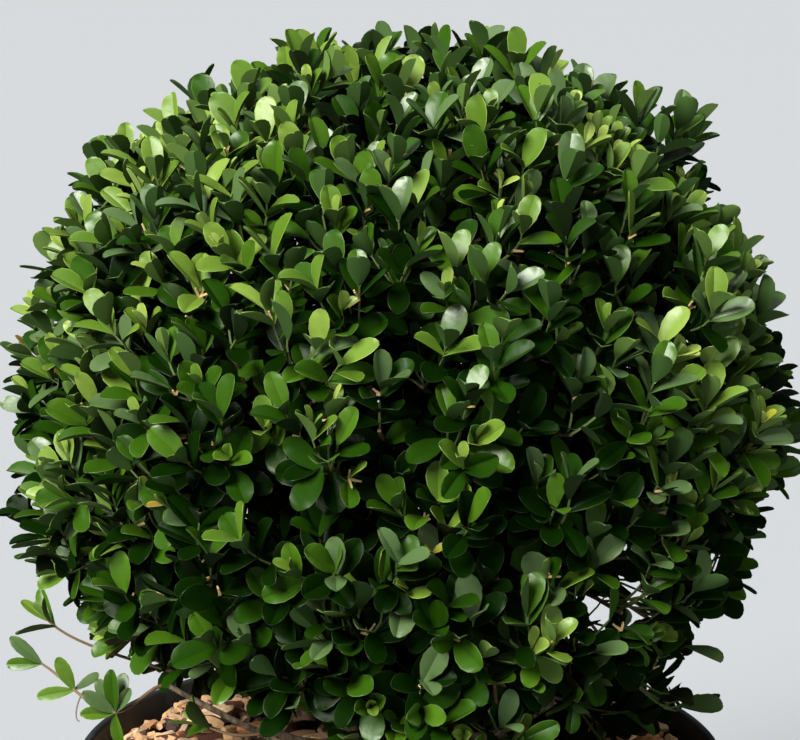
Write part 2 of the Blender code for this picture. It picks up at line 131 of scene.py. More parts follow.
def drill(body, place, radius, depth, sides):
    """Cuts an upright round hole into a body."""
    bpy.ops.mesh.primitive_cylinder_add(vertices=sides, radius=radius, depth=depth, location=place)
    cutter = bpy.context.active_object
    bpy.context.view_layer.objects.active = body
    hole = body.modifiers.new("hole", "BOOLEAN")
    hole.object = cutter
    bpy.ops.object.modifier_apply(modifier=hole.name)
    bpy.data.objects.remove(cutter)


def put_in_order(mesh):
    """Lists a drilled mesh's points and faces by place, because drilling leaves them in any order."""
    places = [tuple(vert.co) for vert in mesh.vertices]
    order = sorted(range(len(places)), key=places.__getitem__)
    rank = {old: new for new, old in enumerate(order)}
    faces = sorted([rank[k] for k in face.vertices] for face in mesh.polygons)
    mesh.clear_geometry()
    mesh.from_pydata([places[k] for k in order], [], faces)


profile = pot_profile()
bpy.ops.mesh.primitive_circle_add(vertices=POT_SIDES, radius=profile[0][0], fill_type="NGON")
pot = bpy.context.active_object
pot.name = "nursery_pot"
bpy.ops.object.mode_set(mode="EDIT")
bpy.ops.mesh.select_all(action="SELECT")
extrude_through(profile)
bpy.ops.mesh.select_all(action="SELECT")
bpy.ops.mesh.normals_make_consistent(inside=False)
bpy.ops.object.mode_set(mode="OBJECT")
for i in range(DRAIN_HOLES):
    turn = math.tau * (i + 0.5) / DRAIN_HOLES
    place = (DRAIN_CIRCLE * math.cos(turn), DRAIN_CIRCLE * math.sin(turn), FLOOR_THICKNESS / 2)
    drill(pot, place, DRAIN_RADIUS, WALL * 4, DRAIN_SIDES)
put_in_order(pot.data)
bpy.ops.object.select_all(action="DESELECT")
pot.select_set(True)
bpy.ops.object.shade_smooth_by_angle(angle=math.radians(35))


class Finish:
    """A material. Each method adds nodes, and takes and returns fixed values or sockets."""

    def __init__(self, name, colour=None, roughness=0.5):
        self.material = bpy.data.materials.new(name)
        self.material.use_nodes = True
        self.nodes, self.links = self.material.node_tree.nodes, self.material.node_tree.links
        self.inputs = self.nodes["Principled BSDF"].inputs
        if colour:
            self.inputs["Base Color"].default_value = colour
            self.material.diffuse_color = colour
        self.inputs["Roughness"].default_value = roughness

    def add(self, kind, **inputs):
        """A node, with the value or the socket that each of its inputs takes."""
        node = self.nodes.new("ShaderNode" + kind)
        for name, value in inputs.items():
            self.give(node.inputs[name.replace("_", " ")], value)
        return node

    def give(self, socket, value):
        if isinstance(value, bpy.types.NodeSocket):
            self.links.new(value, socket)
        else:
            socket.default_value = value

    def noise(self, scale, detail=4.0, stretch=None):
        """Noise on Object coordinates. Stretch is its scale along each axis, for grain and streaks."""
        place = self.add("TexCoord").outputs["Object"]
        if stretch:
            place = self.add("Mapping", Scale=stretch, Vector=place).outputs["Vector"]
        return self.add("TexNoise", Scale=scale, Detail=detail, Vector=place).outputs["Fac"]

    def ramp(self, value, low, high, start=0.0, end=1.0):
        """Maps a value between start and end to the range low to high, and holds it there outside of them."""
        limits = {"From_Min": start, "From_Max": end, "To_Min": low, "To_Max": high}
        return self.add("MapRange", Value=value, **limits).outputs["Result"]

    def mix(self, share, first, second):
        blend = self.nodes.new("ShaderNodeMix")
        blend.data_type = "RGBA"
        self.give(blend.inputs["Factor"], share)
        self.give(blend.inputs[6], first)
        self.give(blend.inputs[7], second)
        return blend.outputs[2]

    def bump(self, height, strength, distance):
        relief = self.add("Bump", Strength=strength, Distance=distance, Height=height)
        self.give(self.inputs["Normal"], relief.outputs["Normal"])


def add_object(name, points, faces):
    """A new object of these points and faces, at the origin."""
    mesh = bpy.data.meshes.new(name)
    mesh.from_pydata(points, [], faces)
    made = bpy.data.objects.new(name, mesh)
    bpy.context.scene.collection.objects.link(made)
    return made


plastic = Finish("charcoal_polypropylene")
worn = plastic.ramp(plastic.noise(55, 8, (1, 1, 0.25)), 0, 1, 0.52, 0.72)
body = plastic.mix(worn, CHARCOAL, CHARCOAL_WORN)
height = plastic.add("SeparateXYZ", Vector=plastic.add("TexCoord").outputs["Object"]).outputs["Z"]
near_foot = plastic.ramp(height, 0.5, 0.04, 0.0, POT_HEIGHT * 0.35)
speckle = plastic.ramp(plastic.noise(140, 9), 0, 1, 0.45, 0.7)
dusty = plastic.add("Math")
dusty.operation = "MULTIPLY"
plastic.give(dusty.inputs[0], near_foot)
plastic.give(dusty.inputs[1], speckle)
plastic.give(plastic.inputs["Base Color"], plastic.mix(dusty.outputs["Value"], body, POT_DUST))
plastic.give(plastic.inputs["Roughness"], plastic.ramp(plastic.noise(90, 6), 0.36, 0.58))
plastic.bump(plastic.noise(1500, 3), 0.25, 0.0002)
pot.data.materials.append(plastic.material)
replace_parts(pot, "pot")
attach(pot, "root")


# Compost: peat and fine bark that fills the pot, seen only through the drain holes and between chips. The
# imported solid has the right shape, so it stays and takes the crumbly finish.
PEAT = (0.020, 0.012, 0.008, 1)
PEAT_FIBRE = (0.085, 0.050, 0.028, 1)


def crumbly(name, dark, light, grain):
    finish = Finish(name, roughness=0.92)
    crumbs = finish.noise(grain, 8)
    blotches = finish.ramp(crumbs, 0, 1, 0.4, 0.72)
    finish.give(finish.inputs["Base Color"], finish.mix(blotches, dark, light))
    finish.bump(crumbs, 0.8, 0.002)
    return finish.material


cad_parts["compost"].material_slots[0].material = crumbly("peat_compost", PEAT, PEAT_FIBRE, 260)


# Mulch: a bed of dark fines round the stem, under loose wood chips. The bed is a disc with a hole for the
# stem, remeshed so that its top can be roughened into crumbs.
CENTRE = Vector((0, 0, POT_HEIGHT + 0.185))
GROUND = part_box("compost")[1].z
GAP = 0.0003
BED_DEPTH = 0.0150
BED_PLAY = 0.0015
BED_SIDES = 96
BED_MESH = 0.0028
BED_CRUMBS = 0.0016
CRUMBS_PER_METRE = 210
STEM_RADIUS = 0.0105
STEM_FLARE = 0.0075
STEM_PLAY = 0.001
STEM_HOLE_SIDES = 48
FINES = (0.050, 0.026, 0.015, 1)
FINES_LIGHT = (0.150, 0.085, 0.048, 1)

bed_low = GROUND + GAP
bed_radius = inner_radius(bed_low) - GAP - BED_PLAY
middle = (0, 0, bed_low + BED_DEPTH / 2)
bpy.ops.mesh.primitive_cylinder_add(vertices=BED_SIDES, radius=bed_radius, depth=BED_DEPTH, location=middle)
bed = bpy.context.active_object
bed.name = "mulch_bed"
stem_room = STEM_RADIUS + STEM_FLARE + STEM_PLAY
drill(bed, middle, stem_room, BED_DEPTH * 2, STEM_HOLE_SIDES)
bed.select_set(True)
bpy.ops.object.transform_apply(location=True)
bed.data.remesh_voxel_size = BED_MESH
bpy.ops.object.voxel_remesh()
for vert in bed.data.vertices:
    if vert.co.z > middle[2]:
        crumb = noise.fractal(vert.co * CRUMBS_PER_METRE, 0.6, 2.0, 3)
        vert.co.z += BED_CRUMBS * max(-0.6, min(1, crumb))
bpy.ops.object.shade_flat()
bed.data.materials.append(crumbly("mulch_fines", FINES, FINES_LIGHT, 330))
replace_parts(bed, "wood_chips")
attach(bed, "root")


# Wood chips: chipped pine, pale where it split, with a few plates of dark bark. Each is a split slab of 20
# faces, laid in turn on those that lie there, flat or a little tilted, and some along the pot's wall.
CHIPS = 900
CHIP_LENGTH = (0.008, 0.020)
CHIP_WIDTH = (0.0055, 0.0105)
CHIP_THICKNESS = (0.0030, 0.0060)
BARK_SHARE = 0.07
BARK_SCALE = 1.6
BARK_THINNER = 1.25
ALONG_WALL_SHARE = 0.30
CHIP_ROLL = 0.30
CHIP_PITCH = 0.16
CHIP_SINKS = 0.85
CHIP_FILLS = 0.6
PILE_CELL = 0.002
PILE_TOP = 0.0258
RESTS_ON = 65
CHIP_COLOURS = {
    "pale_pine": (0.560, 0.330, 0.165, 1),
    "split_pine": (0.700, 0.470, 0.280, 1),
    "orange_pine": (0.430, 0.190, 0.072, 1),
    "weathered_pine": (0.350, 0.225, 0.130, 1),
    "red_bark": (0.085, 0.026, 0.014, 1),
    "dark_bark": (0.032, 0.014, 0.010, 1),
}
PINE_SLOTS = (0, 0, 0, 1, 1, 2, 3)
BARK_SLOTS = (4, 4, 5)


def chip_slab(draw, length, width, thickness):
    """Points of a split slab: four cross-sections of six points, narrowed and slanted towards torn ends."""
    edge = [draw.uniform(0.75, 1.0) for _ in range(6)]
    slant = [draw.uniform(-0.25, 0.25) for _ in range(2)]
    bow = draw.uniform(-0.10, 0.16)
    points = []
    for along, size in ((-0.5, draw.uniform(0.35, 0.85)), (-0.2, 1), (0.2, draw.uniform(0.85, 1)),
                        (0.5, draw.uniform(0.2, 0.8))):
        lean = slant[0] if along < 0 else slant[1]
        for k in range(6):
            turn = math.tau * (k + 0.5) / 6
            y = math.cos(turn) * width * 0.5 * edge[k] * size
            z = math.sin(turn) * thickness * 0.58 * edge[k] * (0.45 + 0.55 * size)
            x = along * length + lean * y * abs(along) * 2
            points.append(Vector((x, y, z + bow * length * (along * along - 0.1))))
    return points


CHIP_POINTS = 24
CHIP_FACES = [[j * 6 + (k + 1) % 6, j * 6 + 6 + (k + 1) % 6, j * 6 + 6 + k, j * 6 + k]
              for j in range(3) for k in range(6)] + [[0, 1, 2, 3, 4, 5], [23, 22, 21, 20, 19, 18]]


def drop_chips(draw):
    """Every chip's points and its faces' slots. A grid holds the pile's height, which each chip rests on and
    adds to."""
    outer = inner_radius(bed_low) - 0.002
    cells = int(2 * outer / PILE_CELL) + 2
    pile = np.full((cells, cells), BED_DEPTH)
    points, slots = [], []
    for i in range(CHIPS):
        bark = draw.random() < BARK_SHARE
        scale = BARK_SCALE if bark else 1
        length = draw.uniform(*CHIP_LENGTH) * scale
        width = min(draw.uniform(*CHIP_WIDTH) * scale, length * 0.7)
        thickness = draw.uniform(*CHIP_THICKNESS) / (BARK_THINNER if bark else 1)
        along_wall = draw.random() < ALONG_WALL_SHARE
        room = outer - (width * 0.6 + 0.001 if along_wall else length * 0.52)
        closest = room - 0.004 if along_wall else stem_room + length * 0.35
        reach = math.sqrt(draw.uniform(closest**2, room**2))
        bearing = draw.uniform(0, math.tau)
        place = Vector((math.cos(bearing), math.sin(bearing), 0)) * reach
        facing = bearing + math.pi / 2 + draw.gauss(0, 0.12) if along_wall else draw.uniform(0, math.tau)
        turn = Matrix.Rotation(facing, 3, "Z")
        roll = Matrix.Rotation(draw.gauss(0, CHIP_ROLL), 3, "X")
        pitch = Matrix.Rotation(draw.gauss(0, CHIP_PITCH), 3, "Y")
        slab = [turn @ pitch @ roll @ p for p in chip_slab(draw, length, width, thickness)]
        columns = [int((p.x + place.x + outer) / PILE_CELL) for p in slab]
        rows = [int((p.y + place.y + outer) / PILE_CELL) for p in slab]
        under = pile[min(columns):max(columns) + 1, min(rows):max(rows) + 1]
        rests_at = float(np.percentile(under, RESTS_ON))
        low, high = min(p.z for p in slab), max(p.z for p in slab)
        lift = min(rests_at - low * CHIP_SINKS, PILE_TOP - high)
        under[:] = np.maximum(under, min(lift + high * CHIP_FILLS, PILE_TOP))
        place.z = bed_low + lift
        points += [place + p for p in slab]
        slots += [draw.choice(BARK_SLOTS if bark else PINE_SLOTS)] * len(CHIP_FACES)
    return points, slots


points, slots = drop_chips(random.Random(5))
faces = [[i * CHIP_POINTS + k for k in face] for i in range(CHIPS) for face in CHIP_FACES]
chips = add_object("wood_chips_loose", points, faces)
chips.data.polygons.foreach_set("material_index", slots)
for name, colour in CHIP_COLOURS.items():
    pine = Finish(name, colour, 0.78)
    pine.bump(pine.noise(700, 6), 0.55, 0.0008)
    chips.data.materials.append(pine.material)
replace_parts(chips, "wood_chips")
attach(chips, "root")


# Stem and boughs: old wood in ridged, greyish tan bark. The stem leans a little and flares at its foot. Each
# limb is grown as a ridged tube along the source's own path, and a remesh runs them into one at the forks.
BALL_RADIUS = 0.197
STEM_HEIGHT = 0.078
STEM_TAPER = 0.22
FLARE_HEIGHT = 0.009
STEM_LEAN = Vector((0.006, -0.004))
BOUGH_RADIUS = 0.0050
BOUGH_TAPER = 0.72
BOUGH_RISE = math.radians(48)
BOUGH_LEVELS = (0.62, 0.87, 0.68, 0.93, 0.78)
LOW_BOUGH_RADIUS = 0.0036
LOW_BOUGH_TAPER = 0.62
LOW_BOUGH_RISE = math.radians(12)
LOW_BOUGH_LEVELS = (0.36, 0.46)
SPRIG_BEARING = math.radians(204)
SPRIG_LEVEL = 0.27
SPRIG_ROOT = Vector((-0.115, -0.034, 0.316))
SKIRTS = 5
FIRST_BEARING = math.radians(25)
BOUGH_ENDS_OUT = (0.20, 0.36, 0.36, 0.36, 0.36)
BOUGH_ENDS_DOWN = 0.36
LOW_BOUGH_ENDS_OUT = 0.40
LOW_BOUGH_ENDS_DOWN = 0.80
SPRIG_BOUGH_SCALE = 0.72
SPRIG_BOUGH_TAPER = 0.5
COLLAR = 0.55
COLLAR_LENGTH = 0.006
RIDGE_HEIGHT = 0.00045
RIDGE_WIDTH = 0.0021
BARK_MESH = 0.00075
BARK_DARK = (0.060, 0.042, 0.028, 1)
BARK_LIGHT = (0.290, 0.225, 0.150, 1)
UP = Vector((0, 0, 1))


def bezier(start, leave, arrive, end, steps):
    """A cubic curve from start to end, which leaves towards one handle and arrives from the other."""
    path = []
    for i in range(steps + 1):
        t = i / steps
        s = 1 - t
        path.append(s**3 * start + 3 * s * s * t * leave + 3 * s * t * t * arrive + t**3 * end)
    return path


def level(bearing):
    """The level direction at this bearing from +X."""
    return Vector((math.cos(bearing), math.sin(bearing), 0))


def stem_point(share):
    lean = STEM_LEAN * share**2
    return Vector((lean.x, lean.y, GROUND + GAP + STEM_HEIGHT * share))


def stem_radius(share):
    flare = STEM_FLARE * math.exp(-share * STEM_HEIGHT / FLARE_HEIGHT)
    return STEM_RADIUS * (1 - STEM_TAPER * share) + flare


def bough_path(share, bearing, rise, end, steps):
    """A bough leaves the stem at a share of its height, rises at this angle, and bends up to its end."""
    start = stem_point(share)
    reach = (end - start).length
    leave = start + (level(bearing) * math.cos(rise) + UP * math.sin(rise)) * reach * 0.4
    arrive = end - (end - CENTRE + UP * BALL_RADIUS * 1.1).normalized() * reach * 0.35
    return bezier(start, leave, arrive, end, steps)


def tube(path, radii, sides, relief=None):
    """A limb closed at both ends, whose rings stay untwisted along the path. Relief gives the extra radius at
    a turn round the limb, a distance along it and a radius."""
    points, faces = [], []
    across = (path[1] - path[0]).orthogonal()
    run = 0.0
    for i, (place, radius) in enumerate(zip(path, radii)):
        along = (path[min(i + 1, len(path) - 1)] - path[max(i - 1, 0)]).normalized()
        across = (across - along * across.dot(along)).normalized()
        other = along.cross(across)
        run += (place - path[max(i - 1, 0)]).length
        for k in range(sides):
            turn = math.tau * k / sides
            reach = radius + (relief(turn, run, radius) if relief else 0)
            points.append(place + (across * math.cos(turn) + other * math.sin(turn)) * reach)
    last = (len(path) - 1) * sides
    for i in range(0, last, sides):
        for k in range(sides):
            a, b = i + k, i + (k + 1) % sides
            faces.append([a, b, b + sides, a + sides])
    for ring, turned in ((0, True), (last, False)):
        cap = [[ring + k, ring + k + 1, ring + sides - k - 2, ring + sides - k - 1]
               for k in range(sides // 2 - 1)]
        faces += [face[::-1] for face in cap] if turned else cap
    return points, faces


def ridges(turn, run, radius):
    """Bark runs in ridges along the limb, that wander and break, with finer flakes across them."""
    round_limb = Vector((math.cos(turn), math.sin(turn), 0)) * (radius / RIDGE_WIDTH)
    long_grain = noise.noise(round_limb * 2.2 + UP * run * 150)
    flakes = noise.noise(round_limb * 3 + UP * run * 900)
    knots = noise.noise(round_limb * 0.5 + UP * run * 90)
    deep = min(1.0, radius / STEM_RADIUS + 0.25)
    return RIDGE_HEIGHT * deep * (long_grain * 1.2 + flakes * 0.45 + knots * 0.8)


def spaced(start, end, count):
    return [start + (end - start) * i / (count - 1) for i in range(count)]


wood_points, wood_faces = [], []


def add_wood(path, radii, sides):
    points, faces = tube(path, radii, sides, ridges)
    first = len(wood_points)
    wood_points.extend(points)
    wood_faces.extend([k + first for k in face] for face in faces)


shares = spaced(0, 1, 90)
add_wood([stem_point(share) for share in shares], [stem_radius(share) for share in shares], 56)
limb_ends = []
for k, share in enumerate(BOUGH_LEVELS):
    bearing = FIRST_BEARING + k * math.tau / len(BOUGH_LEVELS)
    end = CENTRE + (level(bearing) * BOUGH_ENDS_OUT[k] - UP * BOUGH_ENDS_DOWN) * BALL_RADIUS
    limb_ends.append((bough_path(share, bearing, BOUGH_RISE, end, 110), BOUGH_RADIUS, BOUGH_TAPER))
low_limbs = []
for k in range(SKIRTS):
    bearing = math.tau * k / SKIRTS
    end = CENTRE + (level(bearing) * LOW_BOUGH_ENDS_OUT - UP * LOW_BOUGH_ENDS_DOWN) * BALL_RADIUS
    path = bough_path(LOW_BOUGH_LEVELS[k % 2], bearing, LOW_BOUGH_RISE, end, 90)
    low_limbs.append((path, LOW_BOUGH_RADIUS, LOW_BOUGH_TAPER))
sprig_path = bough_path(SPRIG_LEVEL, SPRIG_BEARING, LOW_BOUGH_RISE, SPRIG_ROOT, 100)
sprig_limb = (sprig_path, LOW_BOUGH_RADIUS * SPRIG_BOUGH_SCALE, SPRIG_BOUGH_TAPER)
for path, thick, taper in limb_ends + low_limbs + [sprig_limb]:
    radii = spaced(thick, thick * taper, len(path))
    for i, place in enumerate(path):
        bark_depth = (place - path[0]).length - STEM_RADIUS
        radii[i] *= 1 + COLLAR * math.exp(-max(0, bark_depth) / COLLAR_LENGTH)
    add_wood(path, radii, 28)

wood = add_object("stem_and_boughs", wood_points, wood_faces)
bpy.ops.object.select_all(action="DESELECT")
bpy.context.view_layer.objects.active = wood
wood.select_set(True)
wood.data.remesh_voxel_size = BARK_MESH
bpy.ops.object.voxel_remesh()
bpy.ops.object.shade_smooth()
bark = Finish("old_bark", roughness=0.86)
weathering = bark.ramp(bark.noise(420, 8, (1, 1, 0.35)), 0, 1, 0.35, 0.68)
bark.give(bark.inputs["Base Color"], bark.mix(weathering, BARK_DARK, BARK_LIGHT))
bark.bump(bark.noise(900, 8, (1, 1, 0.3)), 0.7, 0.0006)
wood.data.materials.append(bark.material)
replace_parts(wood, "stem", "sprig_bough", *[f"bough_{k + 1}" for k in range(5)])
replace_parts(wood, *[f"low_bough_{k + 1}" for k in range(SKIRTS)])
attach(wood, "root")


# Growth: every limb's end carries branches, they carry branchlets, those carry sprays whose ends the shears
# cut, and each spray carries new shoots. At every level the tips are spread evenly over the ball, and each
# grows from its nearest parent. Shoots stand in tufts round their spray's tip, which end at uneven depths.
GOLDEN_ANGLE = math.pi * (3 - math.sqrt(5))
SWELL = 0.024
RIPPLE = 0.018
BELLY_START = -0.55
BELLY = 1.0
BELLY_SHIFT = 0.25
SHOOT_LIFT = 0.16
LOWEST = -0.95
BRANCHES = 16
BRANCHLETS = 64
SPRAYS = 330
SHOOTS = 1520
BRANCH_END = 0.42
BRANCHLET_END = 0.64
SPRAY_ENDS = (0.75, 0.90)
SHOOT_END_DEPTH = 0.0183
TOP_DEEPER = 0.011
SPRAY_UNEVEN = 0.0052
TUFT = 0.23
SHOOT_LENGTH = 0.028
SHOOT_UNEVEN = 0.003
STRAY_SHARE = 0.035
STRAY_LENGTH = (0.005, 0.011)
FLOOR_OVER_CHIPS = 0.007
FLOOR_OVER_RIM = 0.003
FOOT_MARGIN = 0.007
SPRAY_CLEARS = 0.008
SHOOT_CLEARS = 0.006
SMALL_HOLLOW_START = 0.28

# Where the foot is trimmed up: the bearing, how wide in degrees, and by what share of the ball's radius.
FOOT_RISES = ((218, 44, 0.42), (316, 40, 0.36))

# Hollows in the front, where no new shoots came: how far right and how high they are seen, and their radius.
FRONT_TILT = math.radians(13)
FRONT_DISTANCE = 1.6
FRONT_LIFT = 0.015
HOLLOW_DEPTH = 0.050
HOLLOWS = (
    (0.082, 0.020, 0.021),
    (0.096, -0.012, 0.022),
    (-0.002, -0.013, 0.021),
    (0.012, 0.019, 0.017),
    (0.059, -0.034, 0.016),
    (0.061, -0.082, 0.018),
    (-0.067, -0.033, 0.013),
    (-0.061, -0.050, 0.015),
    (-0.093, -0.048, 0.013),
    (-0.079, -0.077, 0.013),
    (-0.026, -0.059, 0.012),
    (0.000, -0.137, 0.014),
    (-0.060, 0.028, 0.011),
    (0.099, 0.069, 0.012),
    (0.132, 0.052, 0.012),
    (-0.031, 0.154, 0.010),
)
HOLLOW_BARE = 0.6
HOLLOW_THINS = 16
# Painted shade: leaves in a hollow take tints this many steps darker at its full depth.
HOLLOW_PAINTED_SHADE = 6
SPRAYS_SINK = 0.7

# The foot of the right side is thin: where it is seen, how far it reaches, and what share doesn't grow there.
SPARSE_PLACE = (0.119, -0.112)
SPARSE_REACH = (0.038, 0.044)
SPARSE_SPRAYS = 0.28
SPARSE_SHOOTS = 0.24
SPARSE_INNER = 1.1
# Painted light: leaves at the thin foot of the right side take tints up to this many steps lighter.
SPARSE_PAINTED_LIGHT = 1.6

# Chinks through the whole crown, where the sky shows: seen as the hollows are. Leaves and shoots keep clear.
CHINK_CLEAR_LEAF = 0.0018
CHINK_CLEAR_TIP = 0.0025
CHINK_CLEAR_STEM = 0.0010
CHINKS = (
    (0.097, -0.104, 0.0040),
    (0.099, -0.115, 0.0034),
    (0.118, -0.107, 0.0040),
    (0.114, -0.096, 0.0030),
    (0.083, -0.120, 0.0024),
    (0.155, -0.082, 0.0036),
    (0.153, -0.109, 0.0018),
    (0.148, -0.119, 0.0018),
    (0.140, -0.137, 0.0040),
    (0.146, -0.142, 0.0034),
    (0.046, -0.101, 0.0022),
)


def tip_radius(direction):
    """How far the clipped surface lies from the crown's middle: nearly even, with low swells, but hanging
    fuller than a ball at its foot on the +X side."""
    swell = SWELL * noise.noise(direction * 2.3 + Vector((4.1, 0.3, 7.7)))
    ripple = RIPPLE * noise.noise(direction * 7.0)
    belly = BELLY * max(0, BELLY_START - direction.z) * max(0, direction.x + BELLY_SHIFT)
    return BALL_RADIUS * (1 + swell + ripple + belly)


def towards(bearing, height):
    """The direction at this bearing that reaches this height on a ball of radius 1."""
    return level(bearing) * math.sqrt(1 - height * height) + UP * height


def spread_evenly(count):
    return [towards(i * GOLDEN_ANGLE, LOWEST + (0.995 - LOWEST) * (i + 0.5) / count) for i in range(count)]


def foot(place):
    """The lowest that foliage hangs at this bearing, as a share of the ball's radius from its middle."""
    bearing = math.degrees(math.atan2(place.y, place.x)) % 360
    return LOWEST + sum(rise * math.exp(-(((bearing - at) / wide) ** 2)) for at, wide, rise in FOOT_RISES)


def floor_under(place):
    """The lowest that foliage hangs here: over the trimmed foot, the chips, or outside of them the rim."""
    over_chips = math.hypot(place.x, place.y) < LIP_RADIUS - 2 * LIP_WIDTH
    lowest = POT_HEIGHT - FLOOR_OVER_CHIPS if over_chips else POT_HEIGHT + FLOOR_OVER_RIM
    return max(lowest, CENTRE.z + foot(place) * BALL_RADIUS - FOOT_MARGIN)


def held_up(place, clearance):
    lowest = floor_under(place) + clearance
    return Vector((place.x, place.y, max(place.z, lowest)))


def seen_in_front(place):
    """How far to the right and how high a place is seen against the crown's middle, from in front of it."""
    offset = place - CENTRE
    rise = offset.y * math.sin(FRONT_TILT) + offset.z * math.cos(FRONT_TILT) - FRONT_LIFT
    nearer = offset.z * math.sin(FRONT_TILT) - offset.y * math.cos(FRONT_TILT)
    larger = FRONT_DISTANCE / (FRONT_DISTANCE - nearer)
    return offset.x * larger, rise * larger + FRONT_LIFT


def hollow_depth(place, direction):
    """How much deeper the shoots end here. Small hollows open all round, and larger ones in front."""
    deepest = 2.6 * max(0, noise.noise(direction * 5.5 + Vector((2.7, 8.1, 3.3))) - SMALL_HOLLOW_START)
    if place.y < 0:
        x, rise = seen_in_front(place)
        for middle, height, radius in HOLLOWS:
            deepest = max(deepest, 2.5 * (1.25 - math.hypot(x - middle, rise - height) / radius))
    return HOLLOW_DEPTH * min(1, deepest)


def sparseness(place):
    """From 0, full, to 1: the crown is thin at the foot of its right side, where the sky shows through."""
    x, rise = seen_in_front(place)
    away = math.hypot((x - SPARSE_PLACE[0]) / SPARSE_REACH[0], (rise - SPARSE_PLACE[1]) / SPARSE_REACH[1])
    return max(0, min(1, 1.8 * (1 - away)))


def in_chink(place, margin):
    x, rise = seen_in_front(place)
    return any(math.hypot(x - middle, rise - height) < radius + margin for middle, height, radius in CHINKS)


def point_on(path, share):
    """A place on a path at a share of its steps, and the way that it heads there."""
    position = share * (len(path) - 1)
    i = min(int(position), len(path) - 2)
    return path[i].lerp(path[i + 1], position - i), (path[i + 1] - path[i]).normalized()


def grow_from(path, share, end, arriving, steps):
    """A child limb, which leaves its parent between the parent's heading and its own aim."""
    start, heading = point_on(path, share)
    aim = end - start
    leave = start + (heading + aim.normalized() * 1.3).normalized() * aim.length * 0.36
    return bezier(start, leave, end - arriving * aim.length * 0.34, end, steps)


def nearest(place, limbs):
    return min(range(len(limbs)), key=lambda k: (limbs[k][0][-1] - place).length_squared)


def wander(draw, amount):
    return Vector([draw.gauss(0, amount) for _ in range(3)])


draw = random.Random(41)
brown_points, brown_faces = [], []
green_points, green_faces = [], []


def add_twig(points, faces, path, thick, thin, sides):
    made, sides_of = tube(path, spaced(thick, thin, len(path)), sides)
    first = len(points)
    points.extend(made)
    faces.extend([k + first for k in face] for face in sides_of)


limbs = [(path, thick * taper) for path, thick, taper in limb_ends + low_limbs]
branches, branchlets, sprays = [], [], []
for count, reach, level_list, sides, thin in (
    (BRANCHES, BRANCH_END, branches, 8, 0.0020),
    (BRANCHLETS, BRANCHLET_END, branchlets, 6, 0.0012),
    (SPRAYS, None, sprays, 4, 0.0010),
):
    for direction in spread_evenly(count):
        inward = (direction - UP * SHOOT_LIFT).normalized()
        share_out = reach if reach else draw.uniform(*SPRAY_ENDS)
        end = CENTRE + inward * tip_radius(direction) * share_out * draw.uniform(0.97, 1.03)
        if not reach:
            end -= direction * hollow_depth(CENTRE + direction * BALL_RADIUS, direction) * SPRAYS_SINK
            end -= direction * TOP_DEEPER * max(0, direction.z) ** 2
            if direction.z < foot(direction) or draw.random() < SPARSE_SPRAYS * sparseness(end):
                continue
        end = held_up(end, SPRAY_CLEARS)
        parent = nearest(end, limbs)
        path = grow_from(limbs[parent][0], draw.uniform(0.62, 1.0), end, (inward + UP * 0.3).normalized(), 7)
        thick = min(limbs[parent][1] * 0.92, thin * 1.5)
        level_list.append((path, thin, direction))
        add_twig(brown_points, brown_faces, path, thick, thin, sides)
    limbs = level_list

spray_depths = [draw.gauss(0, SPRAY_UNEVEN) for _ in sprays]
shoots = []
for direction in spread_evenly(SHOOTS):
    surface = CENTRE + direction * tip_radius(direction)
    hollow = hollow_depth(surface, direction)
    sparse = sparseness(surface)
    missing = max(SPARSE_SHOOTS * sparse, HOLLOW_THINS * (hollow - HOLLOW_BARE * HOLLOW_DEPTH))
    if direction.z < foot(direction) or draw.random() < missing:
        continue
    lift = 0.88 + 0.6 * min(0, direction.z + 0.25)
    arriving = (direction * 0.42 + UP * lift + wander(draw, 0.19)).normalized()
    depth = SHOOT_END_DEPTH + TOP_DEEPER * max(0, direction.z) ** 2 + draw.gauss(0, SHOOT_UNEVEN)
    if draw.random() < STRAY_SHARE:
        depth -= draw.uniform(*STRAY_LENGTH)
    end = held_up(surface - direction * (depth + hollow), SHOOT_CLEARS)
    parent = nearest(end - arriving * SHOOT_LENGTH, sprays)
    beside = sprays[parent][0][-1] - end
    end += (beside - direction * beside.dot(direction)) * TUFT
    end = held_up(end - direction * spray_depths[parent], SHOOT_CLEARS)
    if in_chink(end, CHINK_CLEAR_TIP) or in_chink(end - arriving * 0.02, CHINK_CLEAR_STEM):
        continue
    path = grow_from(sprays[parent][0], draw.uniform(0.72, 1.0), end, arriving, 6)
    # The last value is painted shade in tint steps: darker in hollows, and below 0, as painted light, lighter
    # at the thin foot.
    shoots.append((path, parent, HOLLOW_PAINTED_SHADE * hollow / HOLLOW_DEPTH - SPARSE_PAINTED_LIGHT * sparse))


# Leaves: small, thick and spoon-shaped, dark and glossy above and olive beneath, with a pale edge, made paler
# still as a painted highlight. They are cupped and folded a little along the midrib, and take darker tints deep
# in the crown, low on their shoots and in hollows, partly as painted shade. Each is a closed blade of 40 faces,
# or 14 inside the crown.
STATIONS = (-0.03, 0.20, 0.43, 0.67, 0.85, 0.95, 0.993)
COLUMNS = (-1, -0.94, 0, 0.94, 1)
PLAIN_STATIONS = (-0.03, 0.36, 0.76, 0.96)
PLAIN_COLUMNS = (-1, 0, 1)
LEAF_LENGTH = 0.0210
LEAF_THICKNESS = 0.00042
EDGE_ROLL = 0.05
TIP_NOTCH = 0.022
PETIOLE = 0.10
